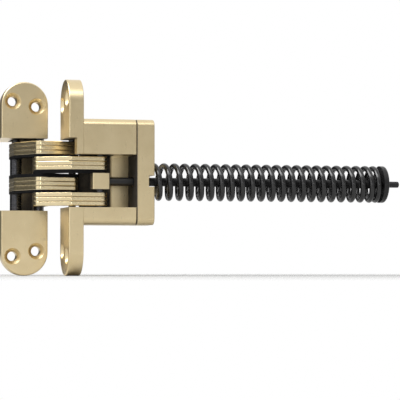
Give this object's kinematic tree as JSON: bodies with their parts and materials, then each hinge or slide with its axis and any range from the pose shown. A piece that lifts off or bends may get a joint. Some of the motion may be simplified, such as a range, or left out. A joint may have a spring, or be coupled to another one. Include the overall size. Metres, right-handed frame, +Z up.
{
  "type": "spring-closing invisible hinge",
  "caption": "Concealed mortise hinge with crossed stacks of curved link plates between two flanged halves, and a coil spring on a rod that pulls the door closed.",
  "frame": {"origin": "middle of the door half's front face", "axes": "+X into the door along the spring rod, +Y to the far side of the door half, +Z up along the pivots"},
  "size_m": [0.2459, 0.0763, 0.1174],
  "materials": {
    "cast_brass": "satin plated die casting",
    "link_brass": "plated stamped plate",
    "pin_steel": "ground pin",
    "screw_steel": "dark socket screw",
    "rod_black": "black oxide steel",
    "spring_black": "black coated spring wire"
  },
  "bodies": {
    "door_half": {"door_casting": "cast_brass", "spring_block": "cast_brass", "block_screws": "screw_steel", "door_pivot_pin": "pin_steel", "spring": "spring_black"},
    "link_a": {"link_a_plate_1": "link_brass", "link_a_plate_2": "link_brass", "link_a_plate_3": "link_brass", "link_a_plate_4": "link_brass", "link_a_plate_5": "link_brass", "link_a_plate_6": "link_brass", "centre_pin": "pin_steel", "jamb_slide_pin": "pin_steel", "slide_spacer": "pin_steel", "lower_spacer": "pin_steel"},
    "link_b": {"link_b_plate_1": "link_brass", "link_b_plate_2": "link_brass", "link_b_plate_3": "link_brass", "link_b_plate_4": "link_brass", "link_b_plate_5": "link_brass", "link_b_plate_6": "link_brass", "door_slide_pin": "pin_steel"},
    "jamb_half": {"jamb_casting": "cast_brass", "jamb_pivot_pin": "pin_steel"},
    "rod": {"rod_trunnion": "cast_brass", "spring_rod": "rod_black", "adjusting_cap": "rod_black"}
  },
  "joints": [
    {"name": "hinge_swing", "type": "hinge", "parent": "door_half", "child": "link_a", "pos_m": [0.0066, 0.0101, 0.0026], "axis": [0, 0, -1], "range_deg": [-60, 60], "deforming": ["spring"]},
    {"name": "link_crossing", "type": "hinge", "parent": "link_a", "child": "link_b", "pos_m": [-0.01241, 0.0082, 0.0026], "axis": [0, 0, -1], "range_deg": [-30, 30]},
    {"name": "jamb_swing", "type": "hinge", "parent": "link_b", "child": "jamb_half", "pos_m": [-0.01051, 0.02721, 0.0026], "axis": [0, 0, -1], "range_deg": [-60, 60]},
    {"name": "rod_pivot", "type": "hinge", "parent": "link_b", "child": "rod", "pos_m": [0.02127, -0.00203, 0.0026], "axis": [0, 0, -1], "range_deg": [-30, 30]}
  ],
  "couplings": [
    {"joint": "link_crossing", "follows": "hinge_swing", "ratio": -0.5},
    {"joint": "jamb_swing", "follows": "hinge_swing", "ratio": 1},
    {"joint": "rod_pivot", "follows": "hinge_swing", "ratio": -0.5}
  ]
}
